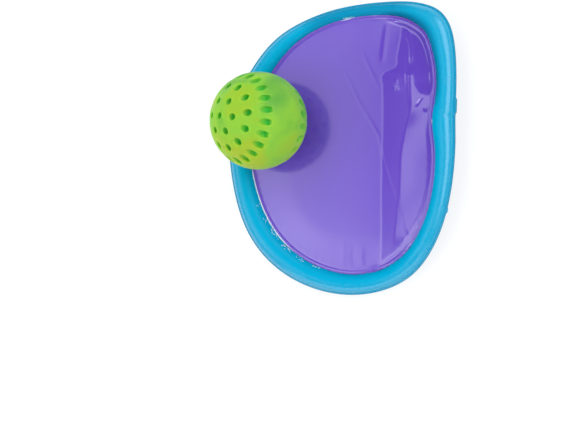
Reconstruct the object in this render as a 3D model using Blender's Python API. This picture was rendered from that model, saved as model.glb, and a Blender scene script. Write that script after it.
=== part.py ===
"""Catching mitt and ball: an inflated vinyl ring, the film to catch on, a pocket for the hand and a ball.

A standalone Blender 4.5 script, in metres, +Z up. The mitt lies on its back with its catching side up
and its fingertip end towards +Y. The ball rests on the film beside the ring's left side. The origin
is at the middle of the whole object's underside.

Every sheet is laid out flat first. Height 0 is then the middle of the ring's weld seams, and the
catching side has positive heights. The flat shapes are curled together, so that the right third of
the mitt rises as one bent sheet.
"""

import math

import bmesh
import bpy
import numpy as np
from mathutils import Matrix, Vector

MM = 0.001

# The gap between two pieces that touch
CLEARANCE = 0.3 * MM

# The inflated ring's middle line reaches this far to each side and end of the mitt laid flat
HALF_WIDTH = 74.0 * MM
HALF_LENGTH = 93.0 * MM
TUBE_RADIUS = 6.8 * MM

# The ring's shape, counter-clockwise from its right side: x and y of its middle line as shares of the
# half width and half length, and its radius there as a share of the tube radius
RING_SHAPE = np.array((
    (0.986, -0.041, 0.941),
    (0.974, 0.197, 1.103),
    (0.999, 0.476, 0.941),
    (0.935, 0.800, 1.162),
    (0.766, 0.940, 1.000),
    (0.481, 1.003, 0.618),
    (0.023, 0.984, 0.515),
    (-0.358, 0.883, 0.632),
    (-0.651, 0.704, 0.853),
    (-0.895, 0.396, 0.941),
    (-0.980, 0.099, 1.000),
    (-0.947, -0.218, 1.044),
    (-0.804, -0.559, 1.147),
    (-0.512, -0.825, 1.103),
    (-0.103, -0.967, 0.985),
    (0.308, -0.961, 0.912),
    (0.669, -0.795, 0.941),
    (0.912, -0.441, 0.868),
))
RING_STATIONS = 90
LINE_STEPS = 1080
ARC_FACES = 10
WELD_THICKNESS = 0.8 * MM
FIN_WIDTH = 1.2 * MM
FLANGE_WIDTH = 4.0 * MM

# The curl: flat up to its start, then an arc about a line parallel to Y, then straight on
CURL_START_X = 22.5 * MM
CURL_LENGTH = 30.0 * MM
CURL_ANGLE = math.radians(18.0)

# The film. The curl leaves a valley beside it and a ridge in the upper corner, each a crease along a
# line: start x and y, end x and y, height, and reach to each side
FILM_THICKNESS = 0.5 * MM
FILM_RINGS = 12
FILM_FOLDS = np.array((
    (49.0, 66.0, 30.0, -64.0, -1.3, 16.0),
    (36.0, 84.0, 54.0, 36.0, 1.2, 8.0),
)) * MM
FOLD_EASE = 8.0 * MM

# The hand pocket on the back: its mouth is a straight edge that faces the wrist
POCKET_THICKNESS = 0.6 * MM
POCKET_RINGS = 9
POCKET_WELD = 3.4 * MM
POCKET_SLOPE = 24.0 * MM
MOUTH_DIRECTION = math.radians(-40.0)
MOUTH_DISTANCE = 14.0 * MM
MOUTH_STEPS = 22

# The valve under the raised right side of the ring, placed by its share of the way round
VALVE_SHARE = 0.93
VALVE_SIDES = 24
VALVE_DISC_RADIUS = 5.0 * MM
VALVE_DISC_THICKNESS = 0.8 * MM
VALVE_DISC_STEPS = 3
VALVE_NECK_RADIUS = 2.6 * MM
VALVE_NECK_LENGTH = 1.0 * MM
VALVE_FILLET = 0.6 * MM
VALVE_CAP_RADIUS = 3.6 * MM
VALVE_CAP_THICKNESS = 1.3 * MM
VALVE_CAP_CHAMFER = 0.5 * MM

# The ball, beside the ring at a share of the way round
BALL_RADIUS = 32.5 * MM
BALL_SHARE = 0.4815
BALL_RING_SLACK = 1.8 * MM
BALL_SEGMENTS = 40
BALL_BANDS = 20

# The ball's pits: a cap of them round each pole of its mould, blind and parallel to the mould's draw
POLE_TILT = math.radians(36.0)
POLE_HEADING = math.radians(174.0)
PIT_RADIUS = 2.25 * MM
PIT_DEPTH = 5.0 * MM
PIT_SIDES = 8
PIN_EXTRA = 3.0 * MM

# Each ring of pits: degrees from the pole, number of pits, and degrees round to its first pit
PIT_RINGS = ((0.0, 1, 0.0), (20.0, 6, -6.0), (38.5, 12, 4.5), (59.5, 22, 8.3))

SHARP_ANGLE = math.radians(40.0)
RING_BLUE = (0.004, 0.413, 0.716, 1.0)
FILM_PURPLE = (0.16, 0.09, 0.55, 1.0)
BALL_GREEN = (0.293, 0.578, 0.062, 1.0)
RING_ROUGHNESS = 0.3
FILM_ROUGHNESS = 0.18
BALL_ROUGHNESS = 0.45


def clear_scene():
    for thing in list(bpy.data.objects):
        bpy.data.objects.remove(thing)


def make_material(name, colour, roughness):
    material = bpy.data.materials.new(name)
    material.use_nodes = True
    shader = material.node_tree.nodes["Principled BSDF"]
    shader.inputs["Base Color"].default_value = colour
    shader.inputs["Roughness"].default_value = roughness
    shader.inputs["Metallic"].default_value = 0.0
    return material


def make_object(name, build, material=None):
    """An object from a bmesh, which is freed, with its round sides shaded smooth."""
    mesh = bpy.data.meshes.new(name)
    build.to_mesh(mesh)
    build.free()
    mesh.shade_smooth()
    mesh.set_sharp_from_angle(angle=SHARP_ANGLE)
    if material:
        mesh.materials.append(material)
    made = bpy.data.objects.new(name, mesh)
    bpy.context.collection.objects.link(made)
    return made


def make_solid(name, points, faces, material):
    """A closed object from points and faces, with the faces turned outwards."""
    build = bmesh.new()
    corners = [build.verts.new(point) for point in points]
    for face in faces:
        build.faces.new([corners[index] for index in face])
    bmesh.ops.recalc_face_normals(build, faces=build.faces)
    return make_object(name, build, material)


def closed_spline(knots, count):
    """Rows at equal lengths along the smooth closed curve through the knots."""
    total = len(knots)
    neighbours = np.roll(np.eye(total), 1, axis=1) + np.roll(np.eye(total), -1, axis=1)
    chords = 3.0 * (np.roll(knots, -1, axis=0) - np.roll(knots, 1, axis=0))
    slopes = np.linalg.solve(4.0 * np.eye(total) + neighbours, chords)
    place = np.linspace(0.0, total, LINE_STEPS, endpoint=False)
    first = place.astype(int)
    second = (first + 1) % total
    t = (place - first)[:, None]
    dense = (
        (2.0 * t**3 - 3.0 * t**2 + 1.0) * knots[first]
        + (t**3 - 2.0 * t**2 + t) * slopes[first]
        + (3.0 * t**2 - 2.0 * t**3) * knots[second]
        + (t**3 - t**2) * slopes[second]
    )
    closed = np.vstack((dense, dense[:1]))
    steps = np.linalg.norm(np.diff(closed[:, :2], axis=0), axis=1)
    length = np.concatenate(([0.0], np.cumsum(steps)))
    wanted = np.linspace(0.0, length[-1], count, endpoint=False)
    return np.stack([np.interp(wanted, length, column) for column in closed.T], axis=1)


def ring_line(count=RING_STATIONS):
    """Middle points, inward directions and tube radii round the ring, laid flat."""
    rows = closed_spline(RING_SHAPE * (HALF_WIDTH, HALF_LENGTH, TUBE_RADIUS), count)
    middle = rows[:, :2]
    along = np.roll(middle, -1, axis=0) - np.roll(middle, 1, axis=0)
    along /= np.linalg.norm(along, axis=1)[:, None]
    inward = np.stack((-along[:, 1], along[:, 0]), axis=1)
    return middle, inward, rows[:, 2]


def ring_place(share):
    """Middle point, inward direction and tube radius at a share of the way round the ring."""
    index = round(share * LINE_STEPS)
    return [values[index] for values in ring_line(LINE_STEPS)]


def curl(points):
    """Bends flat points about a line parallel to Y, without stretching the plane at height 0."""
    x, y, height = np.asarray(points, float).T
    bend_radius = CURL_LENGTH / CURL_ANGLE
    angle = np.clip(x - CURL_START_X, 0.0, CURL_LENGTH) / bend_radius
    beyond = np.maximum(x - CURL_START_X - CURL_LENGTH, 0.0)
    start = np.minimum(x, CURL_START_X)
    plane_x = start + bend_radius * np.sin(angle) + beyond * math.cos(CURL_ANGLE)
    plane_z = bend_radius * (1.0 - np.cos(angle)) + beyond * math.sin(CURL_ANGLE)
    return np.stack((plane_x - height * np.sin(angle), y, plane_z + height * np.cos(angle)), axis=1)


def band_faces(first, second, count):
    """Faces between two closed rows of points that start at these two indices."""
    faces = []
    for step in range(count):
        beside = (step + 1) % count
        faces.append((first + step, first + beside, second + beside, second + step))
    return faces


def fan_faces(row, tip, count):
    """Faces from a closed row of points to one point."""
    return [(row + step, row + (step + 1) % count, tip) for step in range(count)]


def tube_section(radius):
    """The ring's section: inward offsets and heights of the fin, the round tube and the flange."""
    half_weld = WELD_THICKNESS / 2.0
    join = math.asin(half_weld / radius)
    upper = np.linspace(math.pi - join, join, ARC_FACES + 1)
    section = [(-radius - FIN_WIDTH, -half_weld), (-radius - FIN_WIDTH, half_weld)]
    section += [(radius * math.cos(a), radius * math.sin(a)) for a in upper]
    section += [(radius + FLANGE_WIDTH, half_weld), (radius + FLANGE_WIDTH, -half_weld)]
    section += [(radius * math.cos(a), radius * math.sin(a)) for a in -upper[::-1]]
    return section


def make_ring(material):
    """The inflated ring: two sheets welded outside at the fin and inside at the flange, sealed."""
    points = []
    for place, direction, radius in zip(*ring_line()):
        section = tube_section(radius)
        points += [(*(place + direction * offset), height) for offset, height in section]
    faces = []
    for station in range(RING_STATIONS):
        ahead = (station + 1) % RING_STATIONS
        faces += band_faces(station * len(section), ahead * len(section), len(section))
    return make_solid("rim_tube", curl(points), faces, material)


def ring_opening():
    """The outline just inside the tube, where the sheets on the flange end."""
    middle, inward, radius = ring_line()
    return middle + inward * (radius + CLEARANCE)[:, None]


def distance_to(outline, x, y):
    """Distance from each point to the nearest stretch of a closed outline."""
    places = np.column_stack((x, y))[:, None, :]
    spans = np.roll(outline, -1, axis=0) - outline
    share = ((places - outline) * spans).sum(axis=2) / (spans**2).sum(axis=1)
    nearest = outline + np.clip(share, 0.0, 1.0)[:, :, None] * spans
    return np.linalg.norm(places - nearest, axis=2).min(axis=1)


def make_sheet(name, outline, weld, rings, top_height, thickness, material):
    """A thin sheet inside an outline, in rings that shrink to its middle, with its faces parallel."""
    centre = outline.mean(axis=0)
    weld_share = 1.0 - weld / np.linalg.norm(outline - centre, axis=1).mean()
    shares = [1.0, *np.linspace(weld_share, 0.0, rings + 1)[:-1]]
    flat = np.vstack([centre + (outline - centre) * share for share in shares] + [centre])
    top = top_height(flat[:, 0], flat[:, 1])
    points = np.vstack((np.column_stack((flat, top)), np.column_stack((flat, top - thickness))))
    count = len(outline)
    faces = band_faces(0, len(flat), count)
    for side in (0, len(flat)):
        for ring in range(rings):
            faces += band_faces(side + ring * count, side + (ring + 1) * count, count)
        faces += fan_faces(side + rings * count, side + len(flat) - 1, count)
    return make_solid(name, curl(points), faces, material)


def fold_height(x, y, fold):
    """A crease along a line, sharp on the line and gone at its reach and at its two ends."""
    start, end, height, reach = fold[:2], fold[2:4], fold[4], fold[5]
    line = end - start
    length = np.linalg.norm(line)
    along = ((x - start[0]) * line[0] + (y - start[1]) * line[1]) / length**2
    across = np.abs((x - start[0]) * line[1] - (y - start[1]) * line[0]) / length
    side = np.clip(1.0 - across / reach, 0.0, 1.0)
    return height * side**2 * np.sin(math.pi * np.clip(along, 0.0, 1.0))


def film_top():
    """Height of the film's upper face where it is flat."""
    return WELD_THICKNESS / 2.0 + CLEARANCE + FILM_THICKNESS


def make_film(material):
    """The film to catch on, welded on top of the flange, with folds beside the curl."""
    outline = ring_opening()

    def top_height(x, y):
        free = np.clip((distance_to(outline, x, y) - FLANGE_WIDTH) / FOLD_EASE, 0.0, 1.0)
        return film_top() + free * sum(fold_height(x, y, fold) for fold in FILM_FOLDS)

    return make_sheet("catch_film", outline, FLANGE_WIDTH, FILM_RINGS, top_height, FILM_THICKNESS, material)


def rest_depth():
    """How far the flat part of the ring reaches below height 0."""
    middle, _, radius = ring_line()
    return radius[middle[:, 0] < CURL_START_X].max()


def pocket_outline():
    """The part of the ring's opening that lies away from the wrist, closed by the straight mouth."""
    opening = ring_opening()
    past = opening @ (math.cos(MOUTH_DIRECTION), math.sin(MOUTH_DIRECTION)) - MOUTH_DISTANCE
    enters = next(index for index, value in enumerate(past) if value < 0.0 <= past[index - 1])
    opening = np.roll(opening, -enters, axis=0)
    past = np.roll(past, -enters)
    leaves = int(np.argmax(past >= 0.0))
    ends = []
    for inside, outside in ((leaves - 1, leaves), (0, -1)):
        share = past[inside] / (past[inside] - past[outside])
        ends.append(opening[inside] + share * (opening[outside] - opening[inside]))
    mouth = [ends[0] + (ends[1] - ends[0]) * share for share in np.linspace(0.0, 1.0, MOUTH_STEPS)]
    return np.vstack((opening[1:leaves - 1], mouth))


def make_pocket(material):
    """The sheet that holds the hand: welded under the flange, sagging flat, and open at its mouth."""
    opening = ring_opening()
    weld_top = -WELD_THICKNESS / 2.0 - CLEARANCE
    sag_top = POCKET_THICKNESS - rest_depth()

    def top_height(x, y):
        share = np.clip((distance_to(opening, x, y) - POCKET_WELD) / POCKET_SLOPE, 0.0, 1.0)
        return weld_top + (sag_top - weld_top) * share**2 * (3.0 - 2.0 * share)

    outline = pocket_outline()
    return make_sheet("hand_pocket", outline, POCKET_WELD, POCKET_RINGS, top_height, POCKET_THICKNESS, material)


def make_valve(material):
    """The closed inflation valve: a disc welded to the tube's underside, with its plug pushed home."""
    place, across_axis, radius = ring_place(VALVE_SHARE)
    along_axis = np.array((across_axis[1], -across_axis[0]))
    seat = radius + CLEARANCE
    neck_end = -seat - VALVE_DISC_THICKNESS - VALVE_NECK_LENGTH
    cap_end = neck_end - VALVE_CAP_THICKNESS

    # Rows that follow the tube: distance from the valve's axis, and drop below the seat
    rows = [(distance, 0.0) for distance in np.linspace(0.0, VALVE_DISC_RADIUS, VALVE_DISC_STEPS + 1)[1:]]
    rows += [(VALVE_DISC_RADIUS, VALVE_DISC_THICKNESS), (VALVE_NECK_RADIUS + VALVE_FILLET, VALVE_DISC_THICKNESS)]
    points = [(0.0, 0.0, -seat)]
    turns = [math.tau * side / VALVE_SIDES for side in range(VALVE_SIDES)]
    for distance, drop in rows:
        for turn in turns:
            across = distance * math.cos(turn)
            points.append((across, distance * math.sin(turn), -math.sqrt(seat**2 - across**2) - drop))

    # Rows of the neck and cap: distance from the axis, and height
    flat_rows = (
        (VALVE_NECK_RADIUS, -seat - VALVE_DISC_THICKNESS - VALVE_FILLET),
        (VALVE_NECK_RADIUS, neck_end),
        (VALVE_CAP_RADIUS, neck_end),
        (VALVE_CAP_RADIUS, cap_end + VALVE_CAP_CHAMFER),
        (VALVE_CAP_RADIUS - VALVE_CAP_CHAMFER, cap_end),
    )
    for distance, height in flat_rows:
        points += [(distance * math.cos(turn), distance * math.sin(turn), height) for turn in turns]
    points.append((0.0, 0.0, cap_end))

    bands = len(rows) + len(flat_rows) - 1
    faces = fan_faces(1, 0, VALVE_SIDES) + fan_faces(1 + bands * VALVE_SIDES, len(points) - 1, VALVE_SIDES)
    for band in range(bands):
        faces += band_faces(1 + band * VALVE_SIDES, 1 + (band + 1) * VALVE_SIDES, VALVE_SIDES)
    flat = [(*(place + across * across_axis + along * along_axis), height) for across, along, height in points]
    return make_solid("valve", curl(flat), faces, material)


def ball_centre():
    """On the film, and beside the ring's tube with a little slack."""
    place, inward, radius = ring_place(BALL_SHARE)
    height = film_top() + CLEARANCE + BALL_RADIUS
    reach = BALL_RADIUS + CLEARANCE + radius
    inset = math.sqrt(reach**2 - height**2) + BALL_RING_SLACK
    return Vector((*(place + inward * inset), height))


def pole_rotation():
    """The rotation that takes Z to the pole of the ball's mould."""
    sideways = math.sin(POLE_TILT)
    pole = Vector((sideways * math.cos(POLE_HEADING), sideways * math.sin(POLE_HEADING), math.cos(POLE_TILT)))
    across = Vector((0.0, 1.0, 0.0)).cross(pole).normalized()
    return Matrix((across, pole.cross(across), pole)).transposed().to_euler()


def make_pit_pins():
    """The mould's pins as one cutter, each parallel to the poles and reaching out past the ball."""
    pins = bmesh.new()
    for cap in (1.0, -1.0):
        for lean, count, first in PIT_RINGS:
            spot = BALL_RADIUS * math.sin(math.radians(lean))
            floor = BALL_RADIUS * math.cos(math.radians(lean)) - PIT_DEPTH
            end = BALL_RADIUS + PIN_EXTRA
            for index in range(count):
                turn = math.radians(first) + math.tau * index / count
                pin = bmesh.ops.create_cone(
                    pins,
                    cap_ends=True,
                    segments=PIT_SIDES,
                    radius1=PIT_RADIUS,
                    radius2=PIT_RADIUS,
                    depth=end - floor,
                )
                middle = Vector((spot * math.cos(turn), spot * math.sin(turn), cap * (floor + end) / 2.0))
                bmesh.ops.translate(pins, verts=pin["verts"], vec=middle)
    cutter = make_object("pit_pins", pins)
    cutter.hide_render = True
    cutter.display_type = "WIRE"
    return cutter


def make_ball(material):
    """The soft ball: a moulded sphere with a cap of blind pits round each pole and a smooth belt."""
    sphere = bmesh.new()
    bmesh.ops.create_uvsphere(sphere, u_segments=BALL_SEGMENTS, v_segments=BALL_BANDS, radius=BALL_RADIUS)
    ball = make_object("ball", sphere, material)
    pins = make_pit_pins()
    for thing in (ball, pins):
        thing.location = ball_centre()
        thing.rotation_euler = pole_rotation()
    cut = ball.modifiers.new("pits", "BOOLEAN")
    cut.operation = "DIFFERENCE"
    cut.solver = "EXACT"
    cut.object = pins
    return ball, pins


def settle(things):
    """Hangs every piece from one empty, and moves it so that the origin is under the object's middle."""
    anchor = bpy.data.objects.new("mitt_origin", None)
    bpy.context.collection.objects.link(anchor)
    for thing in things:
        thing.parent = anchor
    bpy.context.view_layer.update()
    solids = [thing for thing in things if not thing.hide_render]
    corners = np.array([solid.matrix_world @ vertex.co for solid in solids for vertex in solid.data.vertices])
    low, high = corners.min(axis=0), corners.max(axis=0)
    anchor.location = (-(low[0] + high[0]) / 2.0, -(low[1] + high[1]) / 2.0, -low[2])


def main():
    clear_scene()
    ring_vinyl = make_material("blue_ring_vinyl", RING_BLUE, RING_ROUGHNESS)
    film_vinyl = make_material("purple_film_vinyl", FILM_PURPLE, FILM_ROUGHNESS)
    ball_rubber = make_material("green_ball_rubber", BALL_GREEN, BALL_ROUGHNESS)
    ball, pins = make_ball(ball_rubber)
    pieces = [make_ring(ring_vinyl), make_film(film_vinyl), make_pocket(ring_vinyl), make_valve(ring_vinyl)]
    settle([*pieces, ball, pins])


main()
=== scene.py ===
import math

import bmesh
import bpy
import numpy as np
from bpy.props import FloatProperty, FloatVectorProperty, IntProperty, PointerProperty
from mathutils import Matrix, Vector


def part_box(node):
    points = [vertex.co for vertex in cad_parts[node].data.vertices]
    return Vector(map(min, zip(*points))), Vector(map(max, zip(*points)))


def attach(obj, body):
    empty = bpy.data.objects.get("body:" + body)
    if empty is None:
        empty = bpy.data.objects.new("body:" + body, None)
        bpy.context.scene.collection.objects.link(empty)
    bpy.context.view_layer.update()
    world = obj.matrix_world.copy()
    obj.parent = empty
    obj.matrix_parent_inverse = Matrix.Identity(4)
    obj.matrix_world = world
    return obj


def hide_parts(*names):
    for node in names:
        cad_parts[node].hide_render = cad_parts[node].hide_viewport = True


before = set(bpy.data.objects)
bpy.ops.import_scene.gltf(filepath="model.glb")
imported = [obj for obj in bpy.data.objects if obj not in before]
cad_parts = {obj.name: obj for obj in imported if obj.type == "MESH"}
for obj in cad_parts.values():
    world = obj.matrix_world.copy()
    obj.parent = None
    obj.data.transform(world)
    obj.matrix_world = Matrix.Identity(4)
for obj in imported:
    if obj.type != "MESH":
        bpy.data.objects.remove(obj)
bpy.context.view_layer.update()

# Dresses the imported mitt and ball. The mitt is two sheets of PVC welded into an inflated ring, with a
# glossy film welded over its opening, a hand pocket welded behind it and a moulded valve. The ball is
# soft moulded rubber with a cap of blind pits round each pole.
#
# Everything on the mitt is laid out flat first, with height 0 at the middle of the weld, and is then
# curled with the ring. The layout repeats the named values of the part's source, in metres. Here the
# sheets are thinner, as real ones are, and the weld's flange is narrower, so that the film clears it.

bl_info = {
    "name": "Sticky mitt and ball",
    "version": (1, 0, 0),
    "blender": (4, 5, 0),
    "location": "3D View > Sidebar > Mitt",
    "description": "Builds an inflated catching mitt with a glossy film, and its soft pitted ball",
    "category": "Add Mesh",
}

MM = 0.001
BODY = "root"
PVC_IOR = 1.53

# The inflated ring's middle line reaches this far to each side and end of the mitt laid flat
HALF_WIDTH = 74.0 * MM
HALF_LENGTH = 93.0 * MM
TUBE_RADIUS = 6.8 * MM

# The ring's shape, counter-clockwise from its right side: x and y of its middle line as shares of the
# half width and half length, and its radius there as a share of the tube radius
RING_SHAPE = np.array((
    (0.986, -0.041, 0.941),
    (0.974, 0.197, 1.103),
    (0.999, 0.476, 0.941),
    (0.935, 0.800, 1.162),
    (0.766, 0.940, 1.000),
    (0.481, 1.003, 0.618),
    (0.023, 0.984, 0.515),
    (-0.358, 0.883, 0.632),
    (-0.651, 0.704, 0.853),
    (-0.895, 0.396, 0.941),
    (-0.980, 0.099, 1.000),
    (-0.947, -0.218, 1.044),
    (-0.804, -0.559, 1.147),
    (-0.512, -0.825, 1.103),
    (-0.103, -0.967, 0.985),
    (0.308, -0.961, 0.912),
    (0.669, -0.795, 0.941),
    (0.912, -0.441, 0.868),
))
LINE_STEPS = 1440
CURL_START_X = 22.5 * MM
CURL_LENGTH = 30.0 * MM
CURL_ANGLE = math.radians(18.0)
HALF_WELD = 0.4 * MM
FIN_WIDTH = 1.2 * MM
FIN_BULGE = 0.12 * MM
FIN_TAPER = 0.7
FLANGE_WIDTH = 2.4 * MM

# The ring's tube: stations along it and faces on each half of its section
TUBE_STATIONS = 760
HALF_FACES = 36
SHARP_ANGLE = math.radians(50.0)

# Puckers are usual size where the tube bends as tightly as this
USUAL_BEND = 48.0 * MM

# Waves round the ring, for the inner, fine, reaching and outer puckers: their length as a share of the
# usual one, and their random seed. Then their mean height, and the heights of the fine and outer ones
PUCKER_WAVES = ((2.0, 3), (0.9, 5), (3.0, 7), (1.1, 11))
WAVE_MEAN = 0.8
FINE_SHARE = 0.45
OUTER_SHARE = 0.35

# How far up the tube's section from each weld puckers reach, and where they are full size, in radians
PUCKER_REACH = 0.42
REACH_CHANGE = 0.16
LEAST_REACH = 0.15
INNER_START = 0.12
OUTER_REACH = 0.34
OUTER_START = 0.1

# Where round its section, from the inner weld, the tube's skin turns from gathered to taut
TAUT_FROM = math.radians(82.0)
TAUT_OVER = math.radians(40.0)

# Headings, in degrees round the mitt from +X, between which painted shade darkens the inner wall beside the
# inner weld, and between which the narrow tube is duller and darkened by painted shade all round, and how
# far up the section the painted shade goes
SHADE_HEADINGS = (16.0, 80.0)
DULL_SHADE_HEADINGS = (58.0, 112.0)
HEADING_FADE = 12.0
SHADE_TO = math.radians(46.0)
SHADE_OVER = math.radians(60.0)

# The tab left where the outer weld's two ends meet: its width, and its place in degrees of heading
TAB_WIDTH = 0.8 * MM
TAB_HEADING = 20.5
TAB_REACH = 3.6
TAB_FADE = 0.8

# Creases pressed across the tube where it bends: share of the way round, angle round the section from
# its inner weld in degrees, depth and width in mm
TUBE_KINKS = (
    (0.045, 150.0, 0.55, 1.6),
    (0.060, 35.0, 0.40, 1.2),
    (0.395, 70.0, 0.28, 1.1),
    (0.765, 95.0, 0.30, 1.0),
    (0.785, 110.0, 0.25, 0.9),
    (0.885, 80.0, 0.30, 1.3),
)
KINK_REACH = 0.5

# The ribs pressed into the outer weld: their place across the fin, width and length
RIB_PLACE = 0.62
RIB_WIDTH = 0.95 * MM
RIB_LENGTH = 1.25 * MM

# The film: sides round its edge, rings at set distances from the edge, then rings in to the middle
FILM_THICKNESS = 0.35 * MM
FILM_SIDES = 640
EDGE_GAP = 0.25 * MM
EDGE_OFFSETS = np.array((0.0, 0.3, 0.6, 0.9, 1.2, 1.5, 1.8, 2.1, 2.5, 3.0, 3.6, 4.3)) * MM
FILM_RINGS = 88
FILM_EDGE_HEIGHT = 0.80 * MM
FILM_LEVEL = 0.78 * MM
FILM_CROWN = 0.32 * MM
CROWN_REACH = 26.0 * MM
FREE_EDGE_X = 18.0 * MM

# Distances from its edge where the film leaves its weld, and the small gathers beside that
FREE_FROM = 2.4 * MM
FREE_OVER = 3.4 * MM
GATHERS = 61.0
GATHER_HEIGHT = 0.015 * MM
GATHER_REACH = 6.0 * MM
GATHER_FROM = 1.8 * MM
GATHER_OVER = 1.5 * MM

# The lines that the weld leaves along the film's edge, in mm: height, distance from the edge and width
WELD_LINES = ((0.09, 1.35, 0.45), (-0.07, 2.5, 0.5))

# The bead along the film's edge: its place, its height and how much that wanders
BEAD_PLACE = 0.30 * MM
BEAD_DROP = 0.05 * MM
BEAD_WANDER = 0.06 * MM

# The film can't follow the curled ring, so it folds into straight facets. Each row is a line across the
# mitt in mm: y; x where the flat film ends; x of the second fold and its lift over a straight line; x
# and height of the third; x of the fourth and its lift; and how far the film hangs below the weld there
FILM_FOLDS = np.array((
    (-90.0, 26.0, 29.0, 0.0, 32.0, 0.6, 36.0, 0.0, 0.0),
    (-75.0, 26.5, 30.0, 0.0, 33.0, 0.7, 38.0, 0.0, 0.0),
    (-61.0, 26.9, 31.0, 0.0, 35.9, 1.1, 42.0, 0.0, 0.0),
    (-28.0, 26.9, 33.0, 0.0, 40.0, 1.6, 47.0, 0.0, 0.0),
    (-3.0, 27.3, 34.0, 0.0, 41.1, 1.7, 49.0, 0.0, 0.0),
    (12.0, 27.8, 35.5, 0.0, 44.2, 2.0, 50.5, 0.0, 0.0),
    (27.0, 28.0, 37.0, 0.0, 47.7, 2.4, 53.0, 0.0, 0.0),
    (36.0, 28.0, 37.5, 0.0, 47.2, 2.4, 53.5, 0.1, 0.2),
    (42.0, 28.0, 38.0, 0.1, 46.8, 2.5, 50.5, 0.35, 2.0),
    (50.0, 28.3, 37.0, 0.1, 46.5, 2.5, 49.7, 0.4, 1.9),
    (54.0, 36.2, 38.5, 0.0, 46.8, 1.9, 49.0, 0.3, 2.1),
    (62.0, 38.0, 40.0, 0.0, 47.0, 1.7, 48.8, 0.25, 2.3),
    (72.0, 40.0, 42.0, 0.0, 46.5, 1.3, 48.0, 0.2, 2.3),
    (82.0, 41.3, 43.0, 0.0, 46.0, 0.9, 47.5, 0.1, 1.8),
    (95.0, 42.5, 44.0, 0.0, 46.5, 0.5, 48.0, 0.0, 0.8),
))
FOLD_ROUNDING = 0.8 * MM

# The film's small creases: line in mm, height and reach in mm, and how sharp
FILM_CREASES = (
    (((-2.9, 63.3), (11.0, 33.1), (25.5, 8.5), (28.2, -7.8), (40.1, -42.9), (44.0, -52.0)), 0.035, 1.6, 0.3),
    (((13.1, 67.6), (20.0, 52.0), (26.2, 39.5)), 0.03, 1.8, 0.3),
    (((46.6, 56.0), (46.9, 48.7), (46.9, 38.0), (47.6, 27.0)), 0.22, 1.1, 0.3),
    (((31.2, 86.0), (29.4, 73.1), (27.6, 58.0)), -0.13, 2.6, 0.3),
    (((41.5, 70.0), (42.4, 62.2), (43.0, 52.0), (43.9, 42.1)), 0.10, 1.5, 0.4),
    (((40.6, 77.0), (42.6, 77.6), (46.5, 71.5), (47.2, 63.9), (47.6, 54.0)), 0.28, 1.2, 0.4),
    (((44.6, 60.0), (45.0, 53.0), (44.6, 45.0)), -0.10, 1.2, 0.4),
    (((35.0, 45.5), (37.5, 42.4), (39.2, 39.0)), 0.16, 1.2, 0.4),
    (((37.9, 46.5), (37.5, 42.4), (36.2, 38.5)), 0.14, 1.1, 0.4),
    (((57.3, 34.2), (54.2, 30.6), (51.5, 27.8)), -0.40, 1.6, 0.5),
    (((57.6, 26.4), (59.5, 25.4), (61.0, 26.0)), -0.45, 1.9, 0.5),
    (((2.0, -84.0), (0.5, -74.0), (1.0, -62.0)), 0.035, 3.4, 0.3),
    (((8.6, -84.0), (7.4, -74.0), (8.0, -64.0)), -0.035, 3.2, 0.3),
    (((14.0, -82.0), (13.0, -73.0), (14.5, -66.0)), 0.025, 3.0, 0.3),
    (((49.0, -60.0), (45.0, -52.0), (44.0, -42.0)), -0.06, 2.6, 0.3),
)

# Where the bead along the film's weld is painted pale, a painted highlight: at the lower left, below an x
# and a y and over a length in mm, and in spots with an x, y and reach in mm
HIGHLIGHT_SIDE = ((-30.0, 14.0), (-8.0, 12.0))
HIGHLIGHT_SPOTS = ((4.0, 90.0, 6.0), (24.0, 92.0, 3.0), (64.0, 17.0, 3.0))

# Where pale flecks on the ring stand for glints, painted highlights: x, y and reach in mm, how far up the
# tube in radians, and the least and most of a fleck's size across, along and up as shares of the usual one
FLECK_SPOTS = (
    (-62.0, -38.0, 4.0), (-57.0, -49.0, 4.0), (-49.0, -59.0, 5.0), (-40.0, -68.0, 5.0), (-30.0, -75.0, 5.0),
    (-18.0, -81.0, 3.0), (4.0, 90.5, 5.0), (65.0, 17.0, 2.5),
)
FLECK_LEAN = (0.22, 0.75)
FLECK_LEAST = (0.3, 0.8, 0.3)
FLECK_MOST = (0.6, 3.4, 0.6)
FLECK_SHARE = 0.55

# The pocket's sheet: rings at set distances in mm from its edge, where that is this far from its middle,
# then rings to the middle
POCKET_THICKNESS = 0.45 * MM
SHEET_GAP = 0.5 * MM
POCKET_WELD = 2.2 * MM
POCKET_SLOPE = 24.0 * MM
POCKET_REACH = 60.0
POCKET_OFFSETS = (0.0, 0.4, 1.0, 2.0, 3.2, 4.6)
POCKET_INNER_OFFSET = 6.4
POCKET_RINGS = 44
MOUTH_DIRECTION = math.radians(-40.0)
MOUTH_WAY = (math.cos(MOUTH_DIRECTION), math.sin(MOUTH_DIRECTION))
MOUTH_DISTANCE = 14.0 * MM
MOUTH_STEP = 1.1 * MM
HEM_WIDTH = 6.0 * MM
HEM_THICKNESS = 0.35 * MM
HEM_STEP = 0.5 * MM
HEM_WELD_DEPTH = 0.3 * MM
HEM_WELD_INSET = 1.2 * MM
HEM_WELD_WIDTH = 0.5 * MM
WELD_SINK = 0.05 * MM

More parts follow.
